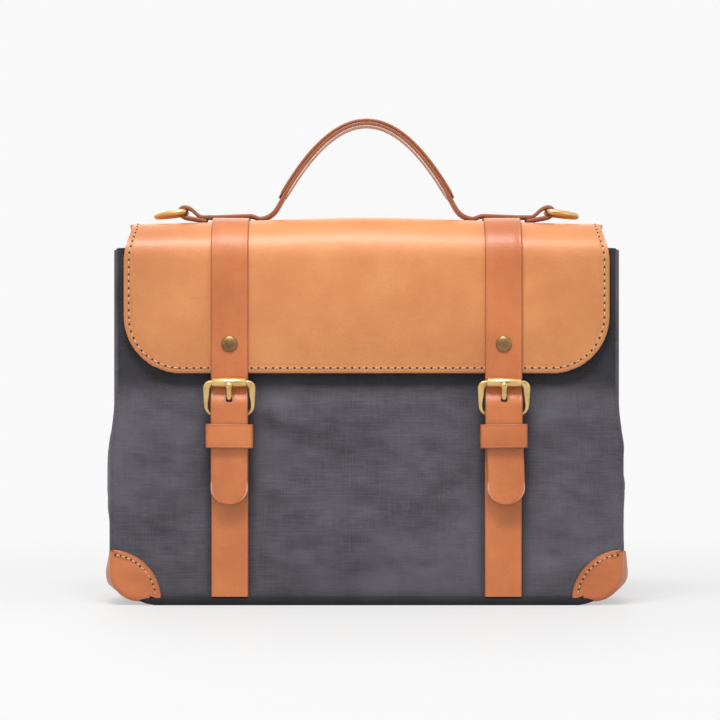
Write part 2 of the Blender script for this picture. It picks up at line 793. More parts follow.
class FlapSurface:
    """Finds points of the flap's leather from the distance across and along it."""

    def __init__(self):
        self.path = even(flap_path(), 0.5 * MM)
        self.along = steps_along(self.path)
        self.total = self.along[-1]
        self.half = FLAP_HIGH.x
        self.low_r = sizes().flap_corner
        self.back_r = 10 * MM

    def at(self, s):
        """Point and outward direction of the side view at distance s."""
        i = min(max(round(s / self.total * (len(self.path) - 1)), 0), len(self.path) - 1)
        return self.path[i], outwards(self.path, Vector((1, 0, 0)), i)

    def width(self, s):
        """Half the flap's width at distance s, rounded at all four corners."""
        point, out = self.at(s)
        half = self.half * (1 - 0.028 * smooth((point.z - 0.236) / 0.03) * smooth((0.02 - point.y) / 0.04))
        for radius, reach in ((self.low_r, self.total - s), (self.back_r, s)):
            if reach < radius:
                half += -radius + math.sqrt(max(0, radius ** 2 - (radius - reach) ** 2))
        return half

    def from_edge(self, x, s):
        """Distance from the nearest edge of the leather."""
        for radius, reach in ((self.low_r, self.total - s), (self.back_r, s)):
            side = abs(x) - (self.half - radius)
            if reach < radius and side > 0:
                return radius - math.hypot(side, radius - reach)
        return min(self.half - abs(x), s, self.total - s)

    def point(self, x, s, lift=0.0):
        point, out = self.at(s)
        wave = 0.35 * MM * crumple(x, s, 3, 0.07) * smooth(self.from_edge(x, s) / (12 * MM))
        free = smooth((s - self.total + 0.05) / 0.05)
        curl = 0.9 * MM * free * crumple(x, 0, 8, 0.09)
        under_strap = clear_of_straps(x)
        relief = lift + (wave + curl) * under_strap
        return Vector((x, 0, 0)) + point + out * relief - sag(x, out)

    def rows(self, start=0.0):
        """Distances of the rows, close together at the rounded ends."""
        back = [self.back_r * (1 - math.cos(math.radians(a))) for a in range(0, 90, 10)]
        angles = [*range(0, 48, 6), *range(48, 86, 2), 90]
        front = [self.total - self.low_r * (1 - math.sin(math.radians(a))) for a in angles]
        steps = round((front[0] - self.back_r) / (2 * MM))
        middle = [mix(self.back_r, front[0], i / steps) for i in range(steps)]
        return [s for s in back + middle + front if s >= start]

    def columns(self, half):
        """Places across, close together near the sides."""
        border = [0.0, 0.6, 1.3, 2.2, 3.0, 3.6, 4.3, 5.0, 5.5, 6.0, 7.0, 9.0, 12.0]
        border = [b * MM for b in border]
        inner = half - border[-1]
        middle = [mix(-inner, inner, i / 56) for i in range(1, 56)]
        return [b - half for b in border] + middle + [half - b for b in border[::-1]]


def pressed(d):
    """Relief near the flap's edge: a rounded rim, a stitched channel and a creased line."""
    rim = -0.55 * MM * (1 - smooth(d / (1.5 * MM)))
    channel = -0.22 * MM * math.exp(-((d - 3.5 * MM) / (0.7 * MM)) ** 2)
    crease = -0.32 * MM * math.exp(-((d - 5.4 * MM) / (0.4 * MM)) ** 2)
    return rim + channel + crease


def flap_leather():
    flap = FlapSurface()
    rows = flap.rows()
    columns = flap.columns(flap.half)
    tables = [flap.columns(flap.width(s)) for s in rows]

    def place(column, row):
        x, s = tables[row][column], rows[row]
        return flap.point(x, s, pressed(flap.from_edge(x, s)))

    def edge(column, row):
        d = flap.from_edge(tables[row][column], rows[row])
        burnish = smooth(1 - d / (1.6 * MM))
        handled = 0.42 * smooth(1 - d / (62 * MM))
        return max(burnish, handled)

    bm = grid(len(columns) - 1, len(rows) - 1, place, lambda c, r: (tables[r][c], rows[r]), edge)
    bmesh.ops.remove_doubles(bm, verts=bm.verts[:], dist=1e-6)
    face_away(bm, Vector((0, MIDDLE_Y, 0.2)))
    thicken(bm, FLAP_T - 0.3 * MM)
    return bm


def flap_lining():
    """Cloth glued inside the flap, set in from its stitched edge."""
    flap = FlapSurface()
    start = FLAP_HIGH.z - ANCHOR_LOW + 10 * MM
    rows = [s for s in flap.rows(start) if s < flap.total - 2.5 * MM] + [flap.total - 2.5 * MM]
    count = 60

    def place(column, row):
        s = rows[row]
        half = flap.width(min(s, flap.total - 4 * MM)) - 3.5 * MM
        return flap.point(mix(-half, half, column / count), s, -FLAP_T - 0.1 * MM)

    flat = lambda column, row: (column / count * 2 * flap.half, rows[row])
    bm = grid(count, len(rows) - 1, place, flat)
    face_away(bm, Vector((0, MIDDLE_Y, 0.2)))
    thicken(bm, 0.6 * MM)
    return bm


def flap_seam(inset):
    """The stitched line up both sides and along the front edge, as points and outward directions."""
    flap = FlapSurface()
    start = FLAP_HIGH.z - ANCHOR_LOW + 16 * MM
    r = flap.low_r - inset
    steps = 60
    side = [(flap.width(s) - inset, s) for s in
            (mix(start, flap.total - flap.low_r, i / steps) for i in range(steps))]
    turn = arc((flap.half - flap.low_r, flap.total - flap.low_r), r, 0, 90, 20)
    right = side + turn
    line = [(-x, s) for x, s in right] + right[::-1]
    line = [Vector((x, s, 0)) for x, s in line]
    spots = even(line, stitch_sizes().flap_pitch)
    return [(flap.point(p.x, p.y, 0.05 * MM), flap.at(p.y)[1]) for p in spots]


# ---- Stitches ----

def stitch(bm, centre, along, out, reach, radius):
    """One raised stitch."""
    side = along.cross(out).normalized()
    turn = Matrix((side * radius, along.normalized() * reach, out * radius * 0.8)).transposed().to_4x4()
    bmesh.ops.create_icosphere(bm, subdivisions=1, radius=1.0, matrix=Matrix.Translation(centre) @ turn)


def hole(bm, centre, along, out, radius, sides=8):
    side = along.cross(out).normalized()
    turn = Matrix((side, along.normalized(), out)).transposed().to_4x4()
    bmesh.ops.create_circle(bm, cap_ends=True, segments=sides, radius=radius,
                            matrix=Matrix.Translation(centre) @ turn)


def stitched(line, threads, holes, closed=False):
    """Adds stitches between the spots of a line of (point, outward direction)."""
    thread = stitch_sizes().thread
    pairs = list(zip(line, line[1:] + (line[:1] if closed else [])))
    if not closed:
        pairs = pairs[:len(line) - 1]
    for (a, out_a), (b, out_b) in pairs:
        along, out = b - a, (out_a + out_b).normalized()
        stitch(threads, (a + b) / 2 + out * thread * 0.35, along, out, along.length * 0.36, thread)
        hole(holes, a + out * 0.06 * MM, along, out, thread * 1.6)


# ---- Straps ----

def wide_at(span, total, tip):
    """Scale of a strap's width, rounded to a half circle at its tip."""
    left = total - span
    half = tip
    if left >= half:
        return 1.0
    return math.sqrt(max(0.0, 1 - ((half - left) / half) ** 2)) * 0.999 + 0.001


TAIL_Y = HEEL.y - 1.8 * MM - STRAP_T / 2
CREST_Y = STRAP_LOW.y + STRAP_T / 2


def closure_path():
    """A closure strap from the base of the back, over the top and the buckle, to its tip."""
    lift = 0.1 * MM + STRAP_T / 2
    turn = 4 * MM
    back = BACK_FACE + FLAP_T + 0.1 * MM
    bend = sizes().flap_bend
    low = [(BACK_FACE + lift, BASE_TOP + 2 * MM), (BACK_FACE + lift, ANCHOR_LOW - 6 * MM),
           (back + lift, ANCHOR_LOW + 3 * MM)]
    over = arc((back - turn, FLAP_HIGH.z - turn), turn + lift, 0, 90, 8)
    front = arc((FLAP_LOW.y + bend, FLAP_HIGH.z - bend), bend + lift, 90, 180, 24)
    face = FLAP_LOW.y - lift
    crest = [(mix(face, CREST_Y, smooth(t)), mix(ROLLER.z - 1 * MM, HEEL.z + 6.5 * MM, t))
             for t in (i / 8 for i in range(9))]
    tail = [(mix(CREST_Y, TAIL_Y, smooth(t)), mix(HEEL.z - 4 * MM, KEEPER_LOW.z + 4 * MM, t))
            for t in (i / 6 for i in range(7))]
    points = low + over + front + crest + tail + [(TAIL_Y, STRAP_LOW.z)]
    return [Vector((0, y, z)) for y, z in points]


def strap_section():
    return rounded(STRAP_W, STRAP_T, sizes().strap_edge, crease=sizes().strap_crease)


def closure_strap(x, drift):
    path = soften(even(closure_path(), 1.2 * MM), 2)
    outs = [outwards(path, Vector((1, 0, 0)), i) for i in range(len(path))]
    path = [p - sag(x, out) for p, out in zip(path, outs)]
    fine = even(path[-12:], 0.35 * MM)
    path = [p + Vector((x + drift * smooth((HEEL.z - p.z) / 0.05) * (p.y < FRONT_FACE), 0, 0))
            for p in path[:-12] + fine]
    along = steps_along(path)
    tip = STRAP_W / 2 * 0.86

    def size(i):
        return wide_at(along[i], along[-1], tip), 1

    def tone(i):
        return mix(1, -1, smooth((along[i] - along[-1] + 17 * MM) / (4 * MM)))

    return sweep(path, Vector((1, 0, 0)), strap_section(), size=size, tone=tone)


def straight_strap(x, y, low, high, facing):
    """A flat strap sewn to a panel. facing is -1 on the front and 1 on the back."""
    path = [Vector((x, y, mix(low, high, i / 60))) for i in range(61)]
    path = [p + Vector((0, 0.15 * MM * crumple(p.z, x, 5, 0.02), 0)) for p in path]
    return sweep(path, Vector((facing, 0, 0)), strap_section())


def keeper_loop(x, tilt):
    """The leather loop that holds the strap's tail, bowed over it and a little askew."""
    wall = 1.6 * MM
    half = (KEEPER_HIGH.x - KEEPER_LOW.x) / 2 - wall / 2
    front, back = KEEPER_LOW.y + wall / 2, KEEPER_HIGH.y - wall / 2
    r = 2.4 * MM
    outline_points = (
        arc((half - r, back - r), r, 0, 90, 5) + arc((r - half, back - r), r, 90, 180, 5)
        + arc((r - half, front + r), r, 180, 270, 5) + arc((half - r, front + r), r, 270, 360, 5))
    path = even([Vector((a, b, 0)) for a, b in outline_points + outline_points[:1]], 1.5 * MM)[:-1]
    middle = (KEEPER_LOW.z + KEEPER_HIGH.z) / 2
    path = [Vector((x + p.x, p.y, middle + tilt * p.x)) for p in path]
    section = rounded(KEEPER_HIGH.z - KEEPER_LOW.z, wall, 0.6 * MM, crease=1.7 * MM)
    return sweep(path, Vector((0, 0, 1)), section, closed=True)


def chape(x):
    """The folded strap behind the tail that holds the buckle's bar, slotted for the prong."""
    ply = 1.6 * MM
    front, back = HEEL.y - 0.9 * MM, HEEL.y + 0.9 * MM
    split = HEEL.z - 9 * MM
    loop = arc((HEEL.y, HEEL.z), 2.65 * MM, 205, -25, 18)
    bm = bmesh.new()
    for y, facing in ((front, -1), (back, 1)):
        path = [Vector((x, y, z)) for z in (CHAPE_LOW.z, mix(CHAPE_LOW.z, split, 0.5), split)]
        join(bm, sweep(path, Vector((facing, 0, 0)), rounded(STRAP_W, ply, 0.5 * MM)))
    slot = 5 * MM
    ear = (STRAP_W - slot) / 2
    sides = [(front, split - 1 * MM)] + loop + [(back, split - 1 * MM)]
    for sign in (-1, 1):
        path = even([Vector((x + sign * (slot + ear) / 2, y, z)) for y, z in sides], 0.8 * MM)
        join(bm, sweep(path, Vector((-1, 0, 0)), rounded(ear, ply, 0.5 * MM)))
    return bm


# ---- Metal ----

def lathe(profile, origin, axis, sides=32):
    """A turned shape: profile gives (distance along the axis, radius)."""
    axis = axis.normalized()
    side = axis.orthogonal().normalized()
    path = [origin + axis * d for d, r in profile]
    bm = grid(sides, len(profile) - 1, lambda c, r: path[r] + Matrix.Rotation(
        2 * math.pi * c / sides, 3, axis) @ side * profile[r][1])
    bmesh.ops.remove_doubles(bm, verts=bm.verts[:], dist=1e-6)
    ends = [e for e in bm.edges if e.is_boundary]
    if ends:
        bmesh.ops.holes_fill(bm, edges=ends, sides=0)
    bmesh.ops.recalc_face_normals(bm, faces=bm.faces[:])
    return bm


def frame_place(x, across, up):
    """A point in the plane of the leaning buckle frame."""
    reach = ROLLER - HEEL
    lean = Vector((0, reach.y, reach.z)).normalized()
    return Vector((x + across, HEEL.y, HEEL.z)) + lean * up


def buckle_frame(x):
    """A cast frame: broad rounded sides that narrow towards the heel, and thin bars across."""
    reach = Vector((0, ROLLER.y - HEEL.y, ROLLER.z - HEEL.z))
    face = Vector((1, 0, 0)).cross(reach).normalized()
    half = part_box("buckle_frame_right")[1][0] - STRAP_X - 2.5 * MM
    top, top_r, low_r = reach.length, 4.6 * MM, 6.2 * MM
    points = (arc((half - top_r, top - top_r), top_r, 0, 90, 8)
              + arc((top_r - half, top - top_r), top_r, 90, 180, 8)
              + arc((low_r - half, low_r), low_r, 180, 270, 8)
              + arc((half - low_r, low_r), low_r, 270, 360, 8))
    flat = even([Vector((a, b, 0)) for a, b in points + points[:1]], 0.9 * MM)[:-1]
    path = [frame_place(x, p.x, p.y) for p in flat]

    def size(i):
        side = smooth((abs(flat[i].x) - half * 0.72) / (half * 0.26))
        height = flat[i].y / top
        return mix(0.92, 1.0, side), mix(0.86, mix(0.8, 1.6, height), side)

    return sweep(path, face, rounded(3.3 * MM, 3.4 * MM, 1.35 * MM), closed=True, size=size)


def buckle_roller(x):
    radius = (ROLLER_HIGH.z - ROLLER_LOW.z) / 2
    half = (ROLLER_HIGH.x - ROLLER_LOW.x) / 2
    bore = 2.1 * MM
    rim = 0.5 * MM
    profile = [(-half + 0.8 * MM, bore), (-half, bore + 0.2 * MM), (-half, radius - rim), (-half + rim, radius),
               (0, radius), (half - rim, radius), (half, radius - rim), (half, bore + 0.2 * MM),
               (half - 0.8 * MM, bore)]
    return lathe(profile, Vector((x, ROLLER.y, ROLLER.z)), Vector((1, 0, 0)))


def buckle_prong(x):
    """The prong: an eye round the heel bar, a tapered shank and a rounded tip over the roller."""
    radius = (ROLLER_HIGH.z - ROLLER_LOW.z) / 2
    reach = Vector((0, ROLLER.y - HEEL.y, ROLLER.z - HEEL.z))
    gap = radius + 1.45 * MM
    lean = math.atan2(-reach.y, reach.z) + math.asin(gap / reach.length)
    shank = math.sqrt(reach.length ** 2 - gap ** 2) + 2.3 * MM
    direction = Vector((0, -math.sin(lean), math.cos(lean)))
    path = [HEEL * 1.0 + direction * (shank * i / 24) for i in range(25)]
    path = [Vector((x, p.y, p.z)) for p in path]

    def size(i):
        t = i / 24
        tip = 1.7 * math.exp(-((t - 0.92) / 0.08) ** 2)
        end = math.sqrt(max(0.0, 1 - smooth((t - 0.93) / 0.07) ** 2)) + 0.02
        return (0.86 + 0.22 * tip) * end, (0.92 + 0.2 * tip) * end

    bm = sweep(path, Vector((-1, 0, 0)), rounded(4.1 * MM, 2.8 * MM, 1.3 * MM), size=size)
    eye = [(-1.9 * MM, 2.6 * MM), (-1.6 * MM, 2.85 * MM), (1.6 * MM, 2.85 * MM), (1.9 * MM, 2.6 * MM)]
    join(bm, lathe(eye, Vector((x, HEEL.y, HEEL.z)), Vector((1, 0, 0)), 20))
    return bm


def ring(side):
    """A welded D ring of round wire, lying down on the flap."""
    wire = 2.15 * MM
    half = (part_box("ring_right")[1][1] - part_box("ring_right")[0][1]) / 2 - 2 * MM
    reach = 5 * MM + half
    tilt = math.asin((RING_BAR.z - FLAP_HIGH.z - 2.3 * MM) / reach)
    r = 2.5 * MM
    points = (arc((r, r - half), r, 180, 270, 5) + arc((reach - half, 0), half, -90, 90, 28)
              + arc((r, half - r), r, 90, 180, 5))
    flat = even([Vector((a, b, 0)) for a, b in points + points[:1]], 1.0 * MM)[:-1]
    out = Vector((side * math.cos(tilt), 0, -math.sin(tilt)))
    path = [Vector((side * RING_BAR.x, MIDDLE_Y + p.y, RING_BAR.z)) + out * p.x for p in flat]
    return sweep(path, Vector((side * math.sin(tilt), 0, math.cos(tilt))), circle(wire, 14), closed=True)


# ---- The handle ----

ARCH_BEND = 14.4    # drop of the arch per metre squared from its middle
PAD_T = 2.0 * MM
HANDLE_T = 2.6 * MM
ARCH_END = 0.062


def arch_point(x, depth):
    """Point of the handle's arch, sunk from its outer face."""
    slope = 2 * ARCH_BEND * x
    out = Vector((slope, 0, 1)).normalized()
    return Vector((x, 0, HANDLE_HIGH.z - ARCH_BEND * x * x)) - out * depth


def eased(a, b, steps):
    return [(mix(a[0], b[0], i / steps), mix(a[1], b[1], smooth(i / steps))) for i in range(steps + 1)]


def foot_sag(x):
    """How far a foot of the handle follows the flap's top down between the arch and the ring."""
    clear = smooth((x - ARCH_END) / (14 * MM)) * (1 - smooth((x - RING_BAR.x + 13 * MM) / (11 * MM)))
    return sag(x, Vector((0, 0, 1))) * clear


def handle_path():
    """The handle strap from one end to the other: round each ring, over each strap and up the arch."""
    sink = PAD_T + HANDLE_T / 2
    last = arch_point(ARCH_END, sink)
    top = FLAP_HIGH.z + 0.1 * MM
    rest = top + HANDLE_T / 2
    over = rest + STRAP_T + 0.1 * MM
    lift = rest + HANDLE_T + 0.1 * MM
    turn = math.atan(2 * ARCH_BEND * ARCH_END)
    r = 12 * MM
    start = last.x + (last.z - rest - r * (1 - math.cos(turn))) / math.tan(turn)
    foot = arc((start + r * math.sin(turn), rest + r), r, 270 - math.degrees(turn), 270, 6)
    near, far = STRAP_X - STRAP_W / 2, STRAP_X + STRAP_W / 2
    loop = 2.3 * MM + HANDLE_T / 2
    flat = (eased((foot[-1][0] + 1 * MM, rest), (near - 0.5 * MM, over), 6)
            + eased((far + 0.5 * MM, over), (far + 3 * MM, lift), 3)
            + eased((RING_BAR.x - 12 * MM, lift), (RING_BAR.x - 1.7 * MM, RING_BAR.z + loop - 0.3 * MM), 5)
            + arc((RING_BAR.x, RING_BAR.z), loop, 100, -90, 16)
            + [(far + 5 * MM, rest)])
    arch = [arch_point(ARCH_END * i / 30, sink) for i in range(31)]
    right = arch + [Vector((x, 0, z)) - foot_sag(x) for x, z in foot + flat]
    left = [Vector((-p.x, 0, p.z)) for p in right[:0:-1]]
    path = even(left + right, 1.2 * MM)
    return [p + Vector((0, MIDDLE_Y, 0)) for p in soften(path, 2)]


def handle_strap():
    return sweep(handle_path(), Vector((0, 1, 0)), rounded(HANDLE_HIGH.y - HANDLE_LOW.y, HANDLE_T, 0.9 * MM))


def arch_layer(depth, thickness, end, crease=None, crown=0.0, narrow=0.0):
    """A layer of the handle's arch that tapers out at its ends."""
    path = [arch_point(end * (i / 60 - 1), depth) for i in range(121)]
    path = [p + Vector((0, MIDDLE_Y, 0)) for p in path]
    width = HANDLE_HIGH.y - HANDLE_LOW.y - 2 * narrow

    def size(i):
        t = smooth((1 - abs(i / 60 - 1)) / 0.05)
        return mix(0.94, 1, t), mix(0.5, 1, t)

    return sweep(path, Vector((0, 1, 0)), rounded(width, thickness, 0.8 * MM, crease=crease, crown=crown),
                 size=size)


def handle_seam(sign):
    """A stitched line along one edge of the handle's pad."""
    y = MIDDLE_Y + sign * ((HANDLE_HIGH.y - HANDLE_LOW.y) / 2 - 2.9 * MM)
    line = [arch_point(0.058 * (i / 40 - 1), 0.3 * MM) for i in range(81)]
    spots = even(line, stitch_sizes().handle_pitch)
    result = []
    for p in spots:
        out = Vector((2 * ARCH_BEND * p.x, 0, 1)).normalized()
        result.append((Vector((p.x, y, p.z)), out))
    return result


# ---- Corner patches, base, mouth and inside ----

def patch_corner(side):
    centre = corner_centre()
    return Vector((side * (centre.x + sizes().corner_radius), BASE_TOP))


def patch_columns(side, count):
    """Pairs of the outline's point and its outward direction under a patch, from the side to the base."""
    path = [Vector((side * abs(x), 0, z)) for x, z in outline(200)]
    path = [p for p in path[:len(path) // 2]]
    corner = patch_corner(side)
    near = [p for p in path if (Vector((p.x, p.z)) - corner).length < sizes().patch_radius]
    spots = even(near, steps_along(near)[-1] / count)
    result = []
    for i, p in enumerate(spots):
        before, after = spots[max(i - 1, 0)], spots[min(i + 1, len(spots) - 1)]
        tangent = (after - before).normalized()
        result.append((p, Vector((side * abs(tangent.z), 0, -abs(tangent.x)))))
    return result


def patch_point(side, outward, column, w, proud):
    """A point of a patch. w runs from its edge on the panel, 0, over the seam, 1, to its edge on the
    gusset, 2; outward is -1 on the front and 1 on the back."""
    spot, normal, angle = column
    face = FRONT_FACE if outward < 0 else BACK_FACE
    corner = patch_corner(side)
    reach = sizes().patch_radius
    bend = 2.6 * MM
    away = (Vector((spot.x, spot.z)) - corner).length
    border = Vector((corner.x - side * reach * math.sin(angle), 0, corner.y + reach * math.cos(angle)))
    inner = spot - normal * bend
    depth = max(math.sqrt(max(reach ** 2 - away ** 2, 0)), bend + 0.5 * MM)
    if w <= 0.8:
        p = border.lerp(inner, w / 0.8)
        return Vector((p.x, face + outward * (proud + max(puff(p.x, p.z, SEEDS[outward]), 0)), p.z))
    if w <= 1.2:
        t = math.radians((w - 0.8) / 0.4 * 90)
        p = inner + normal * (bend + proud) * math.sin(t)
        return Vector((p.x, face - outward * bend + outward * (bend + proud) * math.cos(t), p.z))
    inwards = mix(bend, depth, (w - 1.2) / 0.8)
    t = inwards / (BACK_FACE - FRONT_FACE)
    ease = smooth((w - 1.2) / 0.25)
    push = gusset_push(spot.x, spot.z, t if outward < 0 else 1 - t)
    p = spot + normal * (proud + max(push, 0) * ease)
    return Vector((p.x, face - outward * inwards, p.z))


def patch_table(side, count):
    columns = patch_columns(side, count)
    return [(p, n, math.radians(90 * i / (len(columns) - 1))) for i, (p, n) in enumerate(columns)]


def corner_patch(side, outward):
    """A moulded leather corner over the panel, the seam and the gusset."""
    table = patch_table(side, 36)
    steps = [0.8 * i / 12 for i in range(12)] + [0.8 + 0.4 * i / 8 for i in range(8)] \
        + [1.2 + 0.8 * i / 14 for i in range(15)]
    proud = 1.5 * MM
    rim = lambda w: smooth(1 - min(w, 2 - w) / 0.09)
    place = lambda c, r: patch_point(side, outward, table[c], steps[r], proud - 0.5 * MM * rim(steps[r]))
    bm = grid(len(table) - 1, len(steps) - 1, place, lambda c, r: (c * MM, r * MM),
              lambda c, r: rim(steps[r]))
    face_away(bm, Vector((0, MIDDLE_Y, 0.12)))
    thicken(bm, 1.3 * MM)
    return bm


def patch_seam(side, outward):
    """The stitched line just inside a patch's edge on the panel."""
    table = patch_table(side, 60)
    inset = 3.6 * MM
    line = []
    for column in table[4:-4]:
        start = patch_point(side, outward, column, 0, 1.75 * MM)
        end = patch_point(side, outward, column, 0.8, 1.75 * MM)
        line.append(start + (end - start).normalized() * min(inset, (end - start).length))
    return [(p, Vector((0, outward, 0))) for p in even(line, stitch_sizes().patch_pitch)]


def slab(low, high, radius, segments=3):
    """A soft-edged slab between two corners, with its UV in metres."""
    bm = bmesh.new()
    low, high = Vector(low), Vector(high)
    shape = Matrix.Translation((low + high) / 2) @ Matrix.Diagonal((*(high - low), 1))
    bmesh.ops.create_cube(bm, size=1, matrix=shape)
    bmesh.ops.bevel(bm, geom=bm.edges[:], offset=radius, offset_type="OFFSET", segments=segments,
                    profile=0.5, affect="EDGES", material=-1)
    layer = bm.loops.layers.uv.new("cloth")
    for face in bm.faces:
        for loop in face.loops:
            co = loop.vert.co
            loop[layer].uv = (co.x, co.y + co.z)
    return bm


def base_cloth():
    """The dark, padded base between the corner patches, drawn in and up at its ends."""
    low, high = (Vector(p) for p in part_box("base_panel"))
    thick = high.z + 2.2 * MM
    half = high.x + 3 * MM
    steps = 60

    def close(i):
        return smooth((abs(2 * i / steps - 1) * half - high.x + 13 * MM) / (16 * MM))

    path = []
    for i in range(steps + 1):
        x = (2 * i / steps - 1) * half
        path.append(Vector((x, MIDDLE_Y, thick * mix(0.5, 0.8, close(i)))))
    section = rounded(high.y - low.y + 4.2 * MM, thick, 2.6 * MM)
    return sweep(path, Vector((0, 1, 0)), section, size=lambda i: (mix(1, 0.94, close(i)), mix(1, 0.35, close(i))))


def mouth_binding():
    """Tape folded over the rim of the front and sides."""
    wall = 2.4 * MM
    half, front, back = side_half(MOUTH_Z) - wall / 2, FRONT_FACE + wall / 2, BACK_FACE - 3 * MM
    r = 5 * MM
    flat = [(-half, back)] + arc((r - half, front + r), r, 180, 270, 6) \
        + arc((half - r, front + r), r, 270, 360, 6) + [(half, back)]
    path = even([Vector((x, y, MOUTH_Z - 1.4 * MM)) for x, y in flat], 3 * MM)
    path = [p + Vector((0, 0, 0.35 * MM * crumple(p.x, p.y, 21, 0.05))) for p in path]
    return sweep(path, Vector((0, 0, 1)), rounded(5.4 * MM, wall + 1.5 * MM, 1.7 * MM))


def lining():
    """The cloth bag inside: two faces and a strip round the sides and floor."""
    inset = 2.3 * MM
    rows = panel_rows(MOUTH_Z - 0.5 * MM)
    bm = bmesh.new()
    centre = Vector((0, MIDDLE_Y, 0.12))
    clear = inset + 1.9 * MM
    for face, top in ((FRONT_FACE + clear, MOUTH_Z - 0.5 * MM), (BACK_FACE - clear, BACK_TOP - 3 * MM)):
        rows = panel_rows(top)
        half = lambda z: min(panel_half(z), panel_half(MOUTH_Z)) - inset
        place = lambda c, r: Vector((mix(-half(rows[r]), half(rows[r]), c / 40), face,
                                     max(rows[r], BASE_TOP + inset)))
        sheet = grid(40, len(rows) - 1, place, lambda c, r: (c * 8 * MM, rows[r]))
        face_away(sheet, centre)
        bmesh.ops.reverse_faces(sheet, faces=sheet.faces[:])
        thicken(sheet, 0.5 * MM)
        join(bm, sheet)
    path = outline()

    def place(column, row):
        x, z = path[row]
        y = mix(FRONT_FACE + inset, BACK_FACE - inset, column / 12)
        return Vector((x, y, z)) - path_normal(path, row) * inset

    along = steps_along([Vector(p) for p in path])
    sheet = grid(12, len(path) - 1, place, lambda c, r: (c * 7 * MM, along[r]))
    face_away(sheet, centre)
    bmesh.ops.reverse_faces(sheet, faces=sheet.faces[:])
    thicken(sheet, 0.5 * MM)
    join(bm, sheet)
    return bm


def divider():
    """The padded wall of the laptop sleeve, quilted in upright channels."""
    low, high = (Vector(p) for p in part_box("inner_divider"))
    middle = (low.y + high.y) / 2
    rows = [z for z in panel_rows(high.z) if z > low.z] + [low.z]
    count = 120
    bm = bmesh.new()
    for facing in (-1, 1):
        def place(column, row):
            z = rows[row]
            half = panel_half(z) - 4 * MM
            x = mix(-half, half, column / count)
            rim = smooth(min(half - abs(x), high.z - z, z - low.z) / (9 * MM))
            channel = 1 - 0.6 * math.exp(-((math.remainder(x, 0.044)) / (2.2 * MM)) ** 2)
            return Vector((x, middle + facing * (0.4 * MM + 1.9 * MM * rim * channel), z))
        sheet = grid(count, len(rows) - 1, place, lambda c, r: (c * 3 * MM, rows[r]))
        join(bm, sheet)
    rim = [e for e in bm.edges if e.is_boundary]
    bmesh.ops.bridge_loops(bm, edges=rim)
    bmesh.ops.recalc_face_normals(bm, faces=bm.faces[:])
    return bm


def divider_binding():
    """Tape over the divider's top edge."""
    low, high = (Vector(p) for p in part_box("inner_divider"))
    half = panel_half(high.z) - 4.5 * MM
    path = [Vector((mix(-half, half, i / 80), (low.y + high.y) / 2, high.z - 1 * MM)) for i in range(81)]
    return sweep(path, Vector((0, 0, 1)), rounded(5 * MM, 3.2 * MM, 1.3 * MM))


# ---- Operators: one for each piece or group of like pieces ----

class Maker(bpy.types.Operator):
    bl_options = {"REGISTER", "UNDO"}

    def execute(self, context):
        self.make()
        return {"FINISHED"}


class BAG_OT_canvas(Maker):
    """Front, back and gusset canvas with the rolled seams between them"""
    bl_idname = "bag.canvas"
    bl_label = "Canvas body"

    def make(self):
        cloth = canvas_finish("body")
        front = cloth_panel(FRONT_FACE, -1, MOUTH_Z)
        front = piece("front_cloth", front, canvas_finish("front"), "bag", "canvas", ["front_panel"])
        back = cloth_panel(BACK_FACE, 1, BACK_TOP)
        back = piece("back_cloth", back, cloth, "bag", "canvas", ["back_panel"])
        gusset = piece("gusset_cloth", gusset_cloth(), cloth, "bag", "canvas", ["gusset"])
        declare_panel(MOUTH_Z)
        declare_panel(BACK_TOP)
        strip = steps_along([Vector(p) for p in outline()])[-1]
        piece("front_seam_roll", seam_roll(FRONT_FACE, -1), cloth, "bag", "canvas")
        piece("back_seam_roll", seam_roll(BACK_FACE, 1), cloth, "bag", "canvas")


class BAG_OT_base(Maker):
    """The padded base that the bag stands on"""
    bl_idname = "bag.base"
    bl_label = "Base"

    def make(self):
        piece("base_cloth", base_cloth(), canvas_finish("tape"), "bag", "base_canvas", ["base_panel"])


class BAG_OT_inside(Maker):
    """Lining, floor board, padded divider and the binding of the mouth"""
    bl_idname = "bag.inside"
    bl_label = "Inside"

    def make(self):
        cloth = lining_finish()
        piece("lining_cloth", lining(), cloth, "bag", "lining_cloth", ["lining"])
        low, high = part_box("base_board")
        piece("floor_board", slab(low, high, 0.8 * MM), cloth, "bag", "board", ["base_board"])
        pad = piece("sleeve_divider", divider(), cloth, "bag", "lining_cloth", ["inner_divider"])
        tape = canvas_finish("tape")
        piece("divider_binding", divider_binding(), tape, "bag", "binding_tape")
        piece("mouth_tape", mouth_binding(), tape, "bag", "binding_tape", ["mouth_binding"])


class BAG_OT_flap(Maker):
    """The flap's leather, which bends at the back's top edge, its lining and its stitches"""
    bl_idname = "bag.flap"
    bl_label = "Flap"

    def make(self):
        cover = piece("flap_cover", flap_leather(), flap_finish(), None, "flap_leather",
                      ["flap_leather", "flap_anchor"])
        bend_at_hinge(cover)
        flap = FlapSurface()
        rows = flap.rows()
        area = sum((b - a) * (flap.width(a) + flap.width(b)) for a, b in zip(rows, rows[1:]))
        piece("flap_cloth", flap_lining(), lining_finish(), "flap", "lining_cloth", ["flap_lining"])
        add_seams([flap_seam(stitch_sizes().inset)], "flap", "flap")


class BAG_OT_patches(Maker):
    """The four moulded leather corners"""
    bl_idname = "bag.patches"
    bl_label = "Corner patches"

    def make(self):
        seams = []
        for name, side in SIDES:
            for end, outward in (("front", -1), ("back", 1)):
                node = "corner_patch_%s_%s" % (end, name)
                piece("leather_" + node, corner_patch(side, outward), strap_finish(), "bag",
                      "flap_leather", [node])
                seams.append(patch_seam(side, outward))
        add_seams(seams, "patch", "bag")


